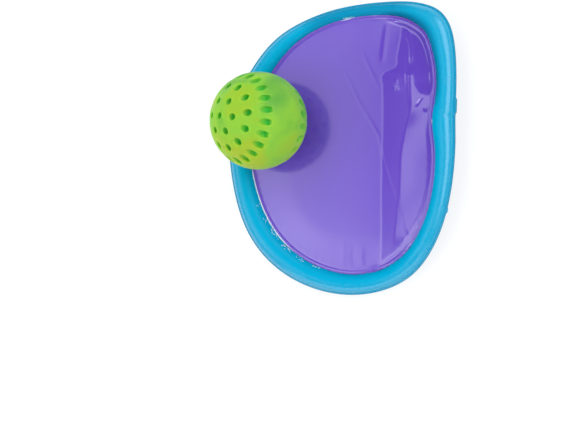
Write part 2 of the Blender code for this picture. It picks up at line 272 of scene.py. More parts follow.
# The valve: its share of the way round the ring, its sides and its gap to the tube. Then, in mm, distance
# from its axis and drop, of its disc from the tube's skin and of its stem and plug from the lowest line
VALVE_SHARE = 0.93
VALVE_SIDES = 48
VALVE_GAP = 0.02 * MM
VALVE_DISC = (
    (0.4, 0.0), (2.0, 0.0), (4.0, 0.0), (5.2, 0.0), (5.35, 0.12), (5.2, 0.38), (4.6, 0.62), (3.8, 0.78),
    (3.1, 0.9), (2.75, 1.05),
)
VALVE_STEM = (
    (2.65, 1.3), (2.6, 1.75), (2.75, 1.95), (3.5, 2.0), (3.72, 2.12), (3.8, 2.35), (3.8, 2.85), (3.68, 3.08),
    (3.4, 3.2), (2.7, 3.22), (2.5, 3.05), (2.2, 2.98), (0.8, 2.98),
)

# The tether from its disc to its plug, and the plug's pull tab: half width, and places in mm along the
# ring and of height
VALVE_STRAPS = {
    "valve_tether": (0.65, (
        (-4.4, -0.55), (-5.1, -0.75), (-5.8, -1.3), (-6.0, -2.0), (-5.6, -2.6), (-4.8, -2.85), (-3.5, -2.8),
    )),
    "valve_pull_tab": (1.3, ((3.4, -2.8), (4.4, -2.85), (5.4, -2.8), (6.3, -2.6), (6.9, -2.35))),
}
STRAP_THICKNESS = 0.6 * MM
STRAP_ROUNDING = 0.14 * MM

# The ball
BALL_SHARE = 0.4815
BALL_RING_SLACK = 1.8 * MM
CLEARANCE = 0.3 * MM
FILM_TOP = 1.2 * MM
POLE_TILT = math.radians(36.0)
POLE_HEADING = math.radians(174.0)
SKIN_STEP = 0.52 * MM

# The ball's yellow batch entered its mould on this side. The green side opposite, towards +Y, is also
# painted darker, as painted shade
YELLOW_AND_SHADE_WAY = (-0.3, -0.6, 0.7)

# Each ring of pits: degrees from the pole, number of pits, and degrees round to its first pit
PIT_RINGS = ((0.0, 1, 0.0), (20.0, 6, -6.0), (38.5, 12, 4.5), (59.5, 22, 8.3))

# Far lamps: the directions that each fills, in degrees from overhead towards +X and towards +Y, its
# radiance, and whether it shows in gloss and lights plain surfaces
LAMP_DISTANCE = 4.0
LAMPS = {
    "left_softbox": ((-64.0, -40.0), (-30.0, 9.0), 1.7, True, True),
    "lower_left_softbox": ((-40.0, -33.0), (-30.0, 1.0), 1.7, True, True),
    "overhead_softbox": ((-22.0, -10.5), (-20.0, 16.0), 1.1, True, True),
    "overhead_left_softbox": ((-23.0, -15.5), (-24.0, 3.0), 0.7, True, True),
    "lower_softbox": ((-30.0, -10.5), (-24.0, -1.5), 0.9, True, True),
    "right_softbox": ((24.0, 64.0), (-20.0, 60.0), 3.2, True, False),
    "front_softbox": ((-45.0, 35.0), (-85.0, -52.0), 1.9, True, False),
    "glint": ((-31.5, -28.5), (-14.0, -8.0), 12.0, True, False),
    "key": ((-28.0, -6.0), (16.0, 40.0), 2.6, False, True),
    "right_fill": ((32.0, 70.0), (-24.0, 36.0), 1.5, False, True),
}
FLOOR_SIZE = 2.0
FLOOR_DROP = 0.1 * MM
FLOOR_GLOW_SHARE = 0.66
CAMERA_PLACE = (0.21365, -0.04844, 0.92815)
CAMERA_TILT = math.radians(15.0)


def to_linear(colour):
    """A hex sRGB colour as a linear RGBA tuple."""
    channels = [int(colour[start:start + 2], 16) / 255.0 for start in (1, 3, 5)]
    return (*(c / 12.92 if c <= 0.04045 else ((c + 0.055) / 1.055) ** 2.4 for c in channels), 1.0)


def add_node(tree, kind, settings):
    """A node with its settings, each a property or an input. A socket or a node there is linked."""
    node = tree.nodes.new(kind)
    for name, value in settings.items():
        if isinstance(name, str) and hasattr(node, name):
            setattr(node, name, value)
        elif isinstance(value, bpy.types.Node):
            tree.links.new(value.outputs[0], node.inputs[name])
        elif isinstance(value, bpy.types.NodeSocket):
            tree.links.new(value, node.inputs[name])
        else:
            node.inputs[name].default_value = value
    return node


def length_setting(name, description, millimetres):
    return FloatProperty(name=name, description=description, default=millimetres * MM, unit="LENGTH")


def colour_setting(name, description, colour):
    return FloatVectorProperty(
        name=name, description=description, default=to_linear(colour), size=4, subtype="COLOR",
    )


class MittSizes(bpy.types.PropertyGroup):
    """Sizes of the details that dress the mitt."""

    pucker_height: length_setting("Pucker height", "Height of the puckers beside the ring's inner weld", 0.42)
    pucker_length: length_setting("Pucker length", "Usual distance from one pucker to the next", 5.5)
    rib_spacing: length_setting("Weld rib spacing", "Distance between the ribs in the outer weld", 1.9)
    bead_radius: length_setting("Weld bead radius", "Radius of the bead along the film's edge", 0.38)
    fleck_size: length_setting("Fleck size", "Usual radius of the flecks beside the film's edge", 0.40)


class BallSizes(bpy.types.PropertyGroup):
    """Sizes of the ball."""

    radius: length_setting("Radius", "Radius of the ball", 32.5)
    pit_radius: length_setting("Pit radius", "Radius of a pit", 2.25)
    pit_depth: length_setting("Pit depth", "Depth of a pit", 5.0)
    pin_sides: IntProperty(name="Pin sides", description="Sides of the mould's pins", default=20, min=8)


class MittColours(bpy.types.PropertyGroup):
    """Colours of the materials."""

    ring: colour_setting("Ring", "Pigment of the ring's PVC", "#00A1CC")
    film: colour_setting("Film", "Pigment of the film's PVC", "#6243BF")
    pocket: colour_setting("Pocket", "Pigment of the pocket's PVC", "#0895CB")
    ball: colour_setting("Ball", "Main colour of the ball's rubber", "#8CC63C")


def hermite(t, low, low_slope, high, high_slope):
    """A smooth step from one value and slope to the next."""
    return (
        (2.0 * t**3 - 3.0 * t**2 + 1.0) * low + (t**3 - 2.0 * t**2 + t) * low_slope
        + (3.0 * t**2 - 2.0 * t**3) * high + (t**3 - t**2) * high_slope
    )


def closed_spline(knots, count):
    """Rows at equal lengths along the smooth closed curve through the knots."""
    total = len(knots)
    neighbours = np.roll(np.eye(total), 1, axis=1) + np.roll(np.eye(total), -1, axis=1)
    chords = 3.0 * (np.roll(knots, -1, axis=0) - np.roll(knots, 1, axis=0))
    slopes = np.linalg.solve(4.0 * np.eye(total) + neighbours, chords)
    place = np.linspace(0.0, total, LINE_STEPS, endpoint=False)
    first = place.astype(int)
    second = (first + 1) % total
    dense = hermite((place - first)[:, None], knots[first], slopes[first], knots[second], slopes[second])
    closed = np.vstack((dense, dense[:1]))
    steps = np.linalg.norm(np.diff(closed[:, :2], axis=0), axis=1)
    length = np.concatenate(([0.0], np.cumsum(steps)))
    wanted = np.linspace(0.0, length[-1], count, endpoint=False)
    return np.stack([np.interp(wanted, length, column) for column in closed.T], axis=1)


def ring_line(count):
    """Middle points, inward directions and tube radii, round the ring laid flat."""
    rows = closed_spline(RING_SHAPE * (HALF_WIDTH, HALF_LENGTH, TUBE_RADIUS), count)
    middle = rows[:, :2]
    ahead = np.roll(middle, -1, axis=0) - np.roll(middle, 1, axis=0)
    ahead /= np.linalg.norm(ahead, axis=1)[:, None]
    inward = np.stack((-ahead[:, 1], ahead[:, 0]), axis=1)
    return middle, inward, rows[:, 2]


def curl(points):
    """Bends flat points about a line parallel to Y, without stretching the plane at height 0."""
    x, y, height = np.asarray(points, float).T
    bend_radius = CURL_LENGTH / CURL_ANGLE
    angle = np.clip(x - CURL_START_X, 0.0, CURL_LENGTH) / bend_radius
    beyond = np.maximum(x - CURL_START_X - CURL_LENGTH, 0.0)
    start = np.minimum(x, CURL_START_X)
    plane_x = start + bend_radius * np.sin(angle) + beyond * math.cos(CURL_ANGLE)
    plane_z = bend_radius * (1.0 - np.cos(angle)) + beyond * math.sin(CURL_ANGLE)
    return np.stack((plane_x - height * np.sin(angle), y, plane_z + height * np.cos(angle)), axis=1)


def at_height(flat, height):
    """Flat places with their height over the layout."""
    return np.column_stack((flat, np.broadcast_to(height, len(flat))))


def ring_depth():
    """How far the ring's thickest tube reaches below the weld where the mitt lies flat."""
    middle, _, radius = ring_line(LINE_STEPS)
    return radius[middle[:, 0] < CURL_START_X].max()


def flat_shift():
    """From the flat layout's origin to the frame's, whose origin is under the middle of the ring."""
    middle, inward, radius = ring_line(LINE_STEPS)
    outer = curl(at_height(middle - inward * (radius + FIN_WIDTH)[:, None], 0.0))
    low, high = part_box("rim_tube")
    across = (low.x + high.x) / 2.0 - (outer[:, 0].min() + outer[:, 0].max()) / 2.0
    along = (low.y + high.y) / 2.0 - (outer[:, 1].min() + outer[:, 1].max()) / 2.0
    return np.array((across, along, ring_depth()))


def placed(points):
    """Flat points curled and moved to where the frame has the mitt."""
    return curl(points) + flat_shift()


def smoothstep(value):
    """A share from 0 to 1 that starts and ends level."""
    share = np.clip(value, 0.0, 1.0)
    return share**2 * (3.0 - 2.0 * share)


def bump_at(value, centre, width):
    """1 at a centre, falling off over a width like a bell."""
    return np.exp(-(((value - centre) / width) ** 2))


def distance_to(outline, places):
    """Distance from each flat place to the nearest stretch of a closed outline."""
    spans = np.roll(outline, -1, axis=0) - outline
    share = ((places[:, None, :] - outline) * spans).sum(axis=2) / (spans**2).sum(axis=1)
    nearest = outline + np.clip(share, 0.0, 1.0)[:, :, None] * spans
    return np.linalg.norm(places[:, None, :] - nearest, axis=2).min(axis=1)


def wander(positions, total, wave, seed, terms=14):
    """Smooth random values of about unit size along a closed line, with waves near one length."""
    chance = np.random.default_rng(seed)
    counts = np.round(total / (wave * chance.uniform(0.65, 1.6, terms)))
    phases = chance.uniform(0.0, math.tau, terms)
    waves = np.cos(math.tau * np.outer(positions, counts) / total + phases)
    return waves.sum(axis=1) / math.sqrt(terms / 2.0)


def mesh_object(name, points, faces, material):
    """An object at the origin with its place in its mesh, smooth shaded."""
    mesh = bpy.data.meshes.new(name)
    mesh.from_pydata([tuple(point) for point in points], [], faces)
    mesh.validate()
    mesh.shade_smooth()
    made = bpy.data.objects.new(name, mesh)
    bpy.context.collection.objects.link(made)
    mesh.materials.append(material)
    return made


def guide_mesh(name, points, joined=True):
    """Points for a tree to follow, joined by a closed line of edges if asked."""
    mesh = bpy.data.meshes.new(name)
    count = len(points)
    edges = [(index, (index + 1) % count) for index in range(count)] if joined else []
    mesh.from_pydata([tuple(point) for point in points], edges, [])
    return mesh


def mesh_points(mesh):
    points = np.empty(len(mesh.vertices) * 3)
    mesh.vertices.foreach_get("co", points)
    return points.reshape(-1, 3)


def mark(piece, name, values):
    """Writes a value on each point of a piece, for its material to read."""
    piece.data.attributes.new(name, "FLOAT", "POINT").data.foreach_set("value", values)


def face_outwards(piece):
    """Merges doubled points and turns every face outwards."""
    build = bmesh.new()
    build.from_mesh(piece.data)
    bmesh.ops.remove_doubles(build, verts=build.verts, dist=0.001 * MM)
    bmesh.ops.recalc_face_normals(build, faces=build.faces)
    build.to_mesh(piece.data)
    build.free()


def grid_faces(rows, columns, close_rows=True):
    """Faces of a grid of points whose columns join round, and whose rows join round too if asked."""
    faces = []
    for row in range(rows if close_rows else rows - 1):
        ahead = (row + 1) % rows
        for column in range(columns):
            beside = (column + 1) % columns
            faces.append((row * columns + column, ahead * columns + column,
                          ahead * columns + beside, row * columns + beside))
    return faces


def fan_faces(start, sides, tip):
    """Faces from a ring of points, whose first one is given, to a tip."""
    return [(start + side, tip, start + (side + 1) % sides) for side in range(sides)]


def bake_modifiers(piece):
    """Turns a piece's modifiers into its plain mesh."""
    bpy.context.view_layer.update()
    depsgraph = bpy.context.evaluated_depsgraph_get()
    result = bpy.data.meshes.new_from_object(piece.evaluated_get(depsgraph), depsgraph=depsgraph)
    piece.modifiers.clear()
    piece.data = result
    return piece


def new_tree(name, inputs):
    """A Geometry Nodes tree and its named inputs, each given with its kind, and one for its material."""
    tree = bpy.data.node_groups.new(name, "GeometryNodeTree")
    for label, kind in {**inputs, "Material": "Material"}.items():
        tree.interface.new_socket(label, in_out="INPUT", socket_type="NodeSocket" + kind)
    tree.interface.new_socket("Geometry", in_out="OUTPUT", socket_type="NodeSocketGeometry")
    return tree, add_node(tree, "NodeGroupInput", {}).outputs


def finish_tree(tree, geometry, material):
    """Ends a tree: its instances are made real, shaded smooth and given their material."""
    real = add_node(tree, "GeometryNodeRealizeInstances", {"Geometry": geometry})
    smooth = add_node(tree, "GeometryNodeSetShadeSmooth", {"Geometry": real})
    dressed = add_node(tree, "GeometryNodeSetMaterial", {"Geometry": smooth, "Material": material})
    add_node(tree, "NodeGroupOutput", {"Geometry": dressed})
    return tree


def node_piece(name, tree, values, start=None):
    """The plain mesh that a Geometry Nodes tree makes, with the tree's inputs set by name."""
    mesh = start or bpy.data.meshes.new(name)
    piece = bpy.data.objects.new(name, mesh)
    bpy.context.collection.objects.link(piece)
    modifier = piece.modifiers.new("build", "NODES")
    modifier.node_group = tree
    for item in tree.interface.items_tree:
        if item.name in values:
            modifier[item.identifier] = values[item.name]
    return bake_modifiers(piece)


def keep(piece, slot, *nodes):
    """Makes a finished piece ride with the mitt and hides the CAD nodes that it stands for; its slot is not
    used.
    """
    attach(piece, BODY)
    if nodes:
        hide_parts(*nodes)


def new_material(name, values):
    """A material with a Principled shader set to these values, its tree and its Object coordinates."""
    material = bpy.data.materials.new(name)
    material.use_nodes = True
    tree = material.node_tree
    shader = tree.nodes["Principled BSDF"]
    for label, value in values.items():
        shader.inputs[label].default_value = value
    return material, tree, shader, add_node(tree, "ShaderNodeTexCoord", {}).outputs["Object"]


def vary_roughness(tree, shader, place, size, low, high):
    """Cloudy roughness between two values, from patches of about one size."""
    cloud = add_node(tree, "ShaderNodeTexNoise", {"Scale": 1.0 / size, "Vector": place})
    spread = add_node(
        tree, "ShaderNodeMapRange",
        {"Value": cloud, "From Min": 0.35, "From Max": 0.65, "To Min": low, "To Max": high},
    )
    tree.links.new(spread.outputs["Result"], shader.inputs["Roughness"])


def emboss(tree, shader, place, pattern, size, strength, depth):
    """A fine bump from a texture whose features have about one size."""
    grain = add_node(tree, pattern, {"Scale": 1.0 / size, "Vector": place})
    bump = add_node(tree, "ShaderNodeBump", {"Strength": strength, "Distance": depth, "Height": grain})
    tree.links.new(bump.outputs["Normal"], shader.inputs["Normal"])


def ring_vinyl(colours):
    """Plasticised PVC sheet, calendered and inflated.

    Pressure draws the outer half of the tube tight and glossy. Towards the inner weld the sheet gathers
    and its calendered skin dulls. Painted shade darkens the inner wall beside the inner weld at the upper
    right, and the narrow tube along the top, which is also duller. The trimmed outer weld, pressed through
    both sheets, looks darker.
    """
    material, tree, shader, place = new_material("ring_plasticised_pvc", {"IOR": PVC_IOR})
    share = add_node(tree, "ShaderNodeTexNoise", {"Scale": 1.0 / (14.0 * MM), "Detail": 3.0, "Vector": place})
    skin = colours.ring
    # A random tone, then painted shade on the marked inner wall and top tube, then the darker outer weld
    for name, colour in (("", "#00A4CE"), ("painted_shade", "#0879A2"), ("pressed", "#0E86A8")):
        if name:
            share = add_node(tree, "ShaderNodeAttribute", {"attribute_name": name}).outputs["Fac"]
        tint = {"data_type": "RGBA", 0: share, 6: skin, 7: to_linear(colour)}
        skin = add_node(tree, "ShaderNodeMix", tint).outputs[2]
    tree.links.new(skin, shader.inputs["Base Color"])
    taut = add_node(tree, "ShaderNodeAttribute", {"attribute_name": "taut"}).outputs["Fac"]
    gloss = add_node(tree, "ShaderNodeMapRange", {"Value": taut, "To Min": 0.04, "To Max": 0.5})
    tree.links.new(gloss.outputs["Result"], shader.inputs["Specular IOR Level"])
    vary_roughness(tree, shader, place, 9.0 * MM, 0.22, 0.32)
    emboss(tree, shader, place, "ShaderNodeTexNoise", 1.6 * MM, 0.25, 0.03 * MM)
    return material


def film_vinyl(colours):
    """Polished PVC film, tacky and clean.

    The polish gives wide, clear reflections, so the film shows every fold as a facet of its own.
    """
    material, tree, shader, place = new_material(
        "film_polished_pvc", {"IOR": PVC_IOR, "Roughness": 0.13, "Coat Weight": 1.0, "Coat Roughness": 0.13},
    )
    cloud = add_node(tree, "ShaderNodeTexNoise", {"Scale": 1.0 / (30.0 * MM), "Vector": place})
    tint = {"data_type": "RGBA", 0: cloud, 6: colours.film, 7: to_linear("#6646C1")}
    tree.links.new(add_node(tree, "ShaderNodeMix", tint).outputs[2], shader.inputs["Base Color"])
    return material


def bead_vinyl():
    """PVC squeezed out along the film's weld, where both colours have run together, set hard and shiny.

    Where it is marked, the bead is painted a pale, nearly white colour, a painted highlight.
    """
    material, tree, shader, place = new_material(
        "weld_bead_pvc", {"IOR": PVC_IOR, "Coat Weight": 1.0, "Coat Roughness": 0.08},
    )
    # The clear attribute marks painted highlight, where the colour turns nearly white
    clear = add_node(tree, "ShaderNodeAttribute", {"attribute_name": "clear"}).outputs["Fac"]
    tint = {"data_type": "RGBA", 0: clear, 6: to_linear("#8350C8"), 7: to_linear("#F0F7FD")}
    tree.links.new(add_node(tree, "ShaderNodeMix", tint).outputs[2], shader.inputs["Base Color"])
    vary_roughness(tree, shader, place, 3.0 * MM, 0.07, 0.16)
    return material


def pocket_vinyl(colours):
    """Embossed PVC sheet.

    Its fine emboss, pressed so that it doesn't cling to the hand, dulls the gloss to a satin.
    """
    material, tree, shader, place = new_material(
        "pocket_embossed_pvc", {"IOR": PVC_IOR, "Base Color": colours.pocket},
    )
    vary_roughness(tree, shader, place, 12.0 * MM, 0.30, 0.44)
    emboss(tree, shader, place, "ShaderNodeTexVoronoi", 0.9 * MM, 0.5, 0.05 * MM)
    return material


def valve_vinyl():
    """Soft injection-moulded PVC, a little clear, so that its edges look paler than its middle."""
    material, tree, shader, place = new_material(
        "valve_moulded_pvc",
        {"IOR": PVC_IOR, "Base Color": to_linear("#2FB3DE"), "Subsurface Weight": 0.25,
         "Subsurface Radius": (0.4, 0.9, 1.0), "Subsurface Scale": 1.5 * MM},
    )
    vary_roughness(tree, shader, place, 4.0 * MM, 0.26, 0.40)
    return material


def ball_rubber(sizes, colours):
    """Soft thermoplastic rubber, injection moulded from green and yellow batches that marble as they meet;
    its green side, towards +Y, is also painted darker as painted shade.

    It is clear enough for light to spread inside it, so thin lips glow pale. The pits are painted a
    brighter, deeper green, painted light standing for light that bounces inside them. Its skin is satin
    from a spark-finished mould.
    """
    material, tree, shader, place = new_material(
        "ball_moulded_rubber",
        {"IOR": 1.5, "Specular IOR Level": 0.2, "Subsurface Weight": 0.9, "Subsurface Scale": 4.0 * MM,
         "Subsurface Radius": (0.6, 1.0, 0.25), "Sheen Weight": 0.12, "Sheen Roughness": 0.3},
    )
    marble = add_node(
        tree, "ShaderNodeTexNoise", {"Scale": 1.0 / (26.0 * MM), "Distortion": 0.4, "Vector": place},
    )
    # Along this way the rubber turns from green to yellow-green; the green end is also darker, painted shade
    yellow = Vector(YELLOW_AND_SHADE_WAY).normalized()
    along = add_node(tree, "ShaderNodeVectorMath", {"operation": "DOT_PRODUCT", 0: place, 1: yellow})
    start = yellow.dot(ball_centre(sizes))
    flow_and_shade = add_node(
        tree, "ShaderNodeMapRange",
        {"Value": along.outputs["Value"], "From Min": start - sizes.radius, "From Max": start + sizes.radius,
         "To Min": -0.3, "To Max": 0.16},
    )
    batch_and_shade = add_node(tree, "ShaderNodeMath", {"operation": "ADD", 0: marble, 1: flow_and_shade})
    ramp = add_node(tree, "ShaderNodeValToRGB", {"Fac": batch_and_shade})
    green, yellow_green = ramp.color_ramp.elements
    green.position = 0.30
    # This darker green is partly painted shade on the ball's +Y side
    green.color = to_linear("#66AE40")
    yellow_green.position = 0.72
    yellow_green.color = to_linear("#A3BF2B")
    ramp.color_ramp.elements.new(0.5).color = colours.ball
    # Painted light in the pits: the deeper a point is sunk, the more it takes a brighter, deeper green
    sunk = add_node(tree, "ShaderNodeAttribute", {"attribute_name": "sunk"}).outputs["Fac"]
    painted_shading = add_node(tree, "ShaderNodeMapRange", {"Value": sunk, "From Min": 0.3 * MM, "From Max": 3.6 * MM})
    inside = {"data_type": "RGBA", 0: painted_shading, 6: ramp, 7: to_linear("#4ED24A")}
    tree.links.new(add_node(tree, "ShaderNodeMix", inside).outputs[2], shader.inputs["Base Color"])
    vary_roughness(tree, shader, place, 8.0 * MM, 0.46, 0.62)
    emboss(tree, shader, place, "ShaderNodeTexNoise", 0.8 * MM, 0.3, 0.04 * MM)
    return material


def between(heading, limits):
    """The share by which each heading lies between two limits, faded at both."""
    low, high = limits
    return smoothstep((heading - low) / HEADING_FADE) * smoothstep((high - heading) / HEADING_FADE)


def tube_rows(sizes):
    """The ring's tube laid flat, station by station, how taut and pressed each point is, and its painted
    shade.
    """
    middle, inward, radius = ring_line(TUBE_STATIONS)
    dense, _, _ = ring_line(LINE_STEPS)
    total = np.linalg.norm(np.roll(dense, -1, axis=0) - dense, axis=1).sum()
    length = np.linspace(0.0, total, TUBE_STATIONS, endpoint=False)
    ahead = np.roll(inward, -4, axis=0) - np.roll(inward, 4, axis=0)
    bend = np.linalg.norm(ahead, axis=1) / (8.0 * total / TUBE_STATIONS)
    tightness = np.clip(bend * USUAL_BEND, 0.3, 1.3)

    inner, fine, reaching, outer = (
        wander(length, total, share * sizes.pucker_length, seed) for share, seed in PUCKER_WAVES
    )
    inner = np.abs(inner) - WAVE_MEAN
    fine = FINE_SHARE * (np.abs(fine) - WAVE_MEAN)
    outer = OUTER_SHARE * (np.abs(outer) - WAVE_MEAN)
    reach = np.maximum(PUCKER_REACH + REACH_CHANGE * reaching, LEAST_REACH)
    join = np.arcsin(HALF_WELD / radius)
    heading = np.degrees(np.arctan2(middle[:, 1], middle[:, 0]))
    tab = TAB_WIDTH * smoothstep((TAB_REACH - np.abs(heading - TAB_HEADING)) / TAB_FADE)
    # Painted shade goes on the inner wall at the upper right, and on the narrow top tube, which is also
    # duller
    wall_shade = between(heading, SHADE_HEADINGS)
    dull_shade = between(heading, DULL_SHADE_HEADINGS)
    share = np.linspace(0.0, 1.0, HALF_FACES + 1)
    count = HALF_FACES + 1
    fin_height = FIN_TAPER * HALF_WELD
    rows = []
    taut = []
    painted_shade = []
    for station in range(TUBE_STATIONS):
        r = radius[station]
        upper = join[station] + (math.pi - 2.0 * join[station]) * share
        angle = np.concatenate((upper, math.tau - upper[::-1]))
        from_inner = np.minimum(angle, math.tau - angle)
        from_outer = math.pi - from_inner
        fade_inner = bump_at(from_inner, 0.0, reach[station]) * smoothstep(from_inner / INNER_START)
        fade_outer = bump_at(from_outer, 0.0, OUTER_REACH) * smoothstep(from_outer / OUTER_START)
        lift = sizes.pucker_height * tightness[station] * (
            inner[station] * fade_inner + fine[station] * fade_inner**2 + outer[station] * fade_outer
        )
        for place, degrees, depth, width in TUBE_KINKS:
            gap = abs(length[station] / total - place)
            gap = min(gap, 1.0 - gap) * total
            turn = np.abs(angle - math.radians(degrees))
            lift = lift - depth * MM * bump_at(gap, 0.0, width * MM) * bump_at(turn, 0.0, KINK_REACH)
        across = (r + lift) * np.cos(angle)
        height = (r + lift) * np.sin(angle)
        fin = r + FIN_WIDTH + tab[station]
        flange = r + FLANGE_WIDTH
        offsets = [*across[:count], -fin, -fin - FIN_BULGE, -fin, *across[count:], flange, flange]
        heights = [*height[:count], fin_height, 0.0, -fin_height, *height[count:], -HALF_WELD, HALF_WELD]
        flat = middle[station] + np.outer(offsets, inward[station])
        rows.append(np.column_stack((flat, heights)))
        outward = smoothstep((from_inner - TAUT_FROM) / TAUT_OVER) * (1.0 - 0.8 * dull_shade[station])
        taut.append([*outward[:count], 1.0, 1.0, 1.0, *outward[count:], 0.0, 0.0])
        # Painted shade: darkest beside the inner weld, fading up the section
        painted_shading = wall_shade[station] * (1.0 - smoothstep((from_inner - SHADE_TO) / SHADE_OVER))
        painted_shading = np.maximum(painted_shading, 0.6 * dull_shade[station] * smoothstep(from_inner / SHADE_OVER))
        painted_shade.append([*painted_shading[:count], 0.0, 0.0, 0.0, *painted_shading[count:], 0.0, 0.0])
    pressed = np.zeros(len(rows[0]))
    pressed[count:count + 3] = 1.0
    pressed = np.tile(pressed, len(rows))
    return rows, {"taut": np.concatenate(taut), "painted_shade": np.concatenate(painted_shade), "pressed": pressed}


def weld_rib_tree():
    """A tree that sets a small rib across the outer weld at equal steps along its line."""
    tree, given = new_tree("weld_ribs", {
        "Geometry": "Geometry", "Spacing": "Float", "Rib Width": "Float", "Rib Length": "Float",
    })
    line = add_node(tree, "GeometryNodeMeshToCurve", {"Mesh": given["Geometry"]})
    even = add_node(
        tree, "GeometryNodeResampleCurve", {"mode": "LENGTH", "Curve": line, "Length": given["Spacing"]},
    )
    width = given["Rib Width"]
    size = add_node(tree, "ShaderNodeCombineXYZ", {"X": given["Rib Length"], "Y": width, "Z": width})
    rib = add_node(tree, "GeometryNodeMeshIcoSphere", {"Radius": 0.5, "Subdivisions": 2})
    tangent = add_node(tree, "GeometryNodeInputTangent", {})
    turn = add_node(tree, "FunctionNodeAlignEulerToVector", {"axis": "Y", "Vector": tangent})
    each = {"Points": even, "Instance": rib, "Rotation": turn, "Scale": size}
    ribs = add_node(tree, "GeometryNodeInstanceOnPoints", each)
    return finish_tree(tree, ribs, given["Material"])


def bead_tree():
    """A tree that sweeps a round bead along a line."""
    tree, given = new_tree("weld_bead", {"Geometry": "Geometry", "Bead Radius": "Float"})
    line = add_node(tree, "GeometryNodeMeshToCurve", {"Mesh": given["Geometry"]})
    profile = add_node(
        tree, "GeometryNodeCurvePrimitiveCircle", {"Resolution": 10, "Radius": given["Bead Radius"]},
    )
    bead = add_node(tree, "GeometryNodeCurveToMesh", {"Curve": line, "Profile Curve": profile})
    return finish_tree(tree, bead, given["Material"])


def fleck_tree():
    """A tree that sets small pale flecks, painted glints, lying along the weld, on a share of points."""
    tree, given = new_tree("painted_glint_flecks", {"Geometry": "Geometry", "Fleck Size": "Float", "Share": "Float"})
    chosen = add_node(
        tree, "FunctionNodeRandomValue", {"data_type": "BOOLEAN", "Seed": 31, "Probability": given["Share"]},
    )
    fleck = add_node(tree, "GeometryNodeMeshIcoSphere", {"Subdivisions": 2, "Radius": given["Fleck Size"]})
    scale = add_node(
        tree, "FunctionNodeRandomValue",
        {"data_type": "FLOAT_VECTOR", "Seed": 37, 0: FLECK_LEAST, 1: FLECK_MOST},
    )
    outward = add_node(tree, "GeometryNodeInputPosition", {})
    turn = add_node(tree, "FunctionNodeAlignEulerToVector", {"axis": "X", "Vector": outward})
    flecks = add_node(
        tree, "GeometryNodeInstanceOnPoints",
        {"Points": given["Geometry"], "Instance": fleck, "Selection": chosen.outputs[3], "Rotation": turn,
         "Scale": scale},
    )
    return finish_tree(tree, flecks, given["Material"])


def build_ring(sizes, colours):
    """The inflated ring with its puckers, and the ribs pressed into its outer weld."""
    vinyl = ring_vinyl(colours)
    rows, marks = tube_rows(sizes)
    tube = mesh_object("ring_tube", placed(np.vstack(rows)), grid_faces(len(rows), len(rows[0])), vinyl)
    for name, values in marks.items():
        mark(tube, name, values)
    face_outwards(tube)
    tube.data.set_sharp_from_angle(angle=SHARP_ANGLE)
    keep(tube, "ring_vinyl", "rim_tube")

    middle, inward, radius = ring_line(TUBE_STATIONS)
    line = middle - inward * (radius + RIB_PLACE * FIN_WIDTH)[:, None]
    ribs = node_piece(
        "weld_ribs", weld_rib_tree(),
        {"Spacing": sizes.rib_spacing, "Rib Width": RIB_WIDTH, "Rib Length": RIB_LENGTH, "Material": vinyl},
        guide_mesh("weld_line", placed(at_height(line, 0.0))),
    )
    keep(ribs, "ring_vinyl")


def film_outline(sides):
    """The film's edge, just inside the tube, laid flat, with its inward directions."""
    middle, inward, radius = ring_line(sides)
    return middle + inward * (radius + EDGE_GAP)[:, None], inward


def crease(x, y, line, height, reach, sharp):
    """Height of a crease along a line of points, highest on it, gone at its reach and at its ends."""
    line = np.array(line) * MM
    best = np.full(x.shape, np.inf)
    along = np.zeros(x.shape)
    spans = np.linalg.norm(np.diff(line, axis=0), axis=1)
    starts = np.concatenate(([0.0], np.cumsum(spans)))
    for index, span in enumerate(spans):
        first, second = line[index], line[index + 1]
        way = (second - first) / span
        step = np.clip((x - first[0]) * way[0] + (y - first[1]) * way[1], 0.0, span)
        gap = np.hypot(x - first[0] - step * way[0], y - first[1] - step * way[1])
        closer = gap < best
        best = np.where(closer, gap, best)
        along = np.where(closer, starts[index] + step, along)
    side = np.clip(1.0 - best / (reach * MM), 0.0, 1.0) ** (1.0 + sharp)
    ends = np.sin(math.pi * np.clip(along / starts[-1], 0.0, 1.0)) ** 0.6
    return height * MM * side * ends


def through_stations(places, stations, values):
    """Values that run smoothly through those at the stations."""
    gaps = np.diff(stations)
    rises = np.diff(values) / gaps
    slopes = np.concatenate((rises[:1], (rises[:-1] + rises[1:]) / 2.0, rises[-1:]))
    index = np.clip(np.searchsorted(stations, places) - 1, 0, len(gaps) - 1)
    gap = gaps[index]
    t = np.clip((places - stations[index]) / gap, 0.0, 1.0)
    return hermite(t, values[index], gap * slopes[index], values[index + 1], gap * slopes[index + 1])


def folded_height(x, y, weld):
    """Height of the folded film over the flat one, and the share of the way to the right weld."""
    order = np.argsort(weld[:, 1])
    weld_x = np.interp(y, weld[order, 1], weld[order, 0])
    weld_z = np.interp(y, weld[order, 1], weld[order, 2])
    rows = FILM_FOLDS * MM
    first, second, second_lift, third, third_z, fourth, fourth_lift, hang = (
        through_stations(y, rows[:, 0], column) for column in rows[:, 1:].T
    )
    weld_x = np.maximum(weld_x, fourth + 1.0 * MM)
    weld_z = weld_z - hang
    second_z = third_z * (second - first) / (third - first) + second_lift
    fourth_z = third_z + (weld_z - third_z) * (fourth - third) / (weld_x - third) + fourth_lift
    knots = ((first, 0.0 * first), (second, second_z), (third, third_z), (fourth, fourth_z), (weld_x, weld_z))
    height = 0.0
    shifts = np.linspace(-FOLD_ROUNDING, FOLD_ROUNDING, 5)
    for shift in shifts:
        for (start, low), (end, high) in zip(knots, knots[1:]):
            slope = (high - low) / (end - start)
            height = height + slope * np.clip(x + shift - start, 0.0, end - start) / len(shifts)
    return height, np.clip((x - third) / (weld_x - third), 0.0, 1.0)


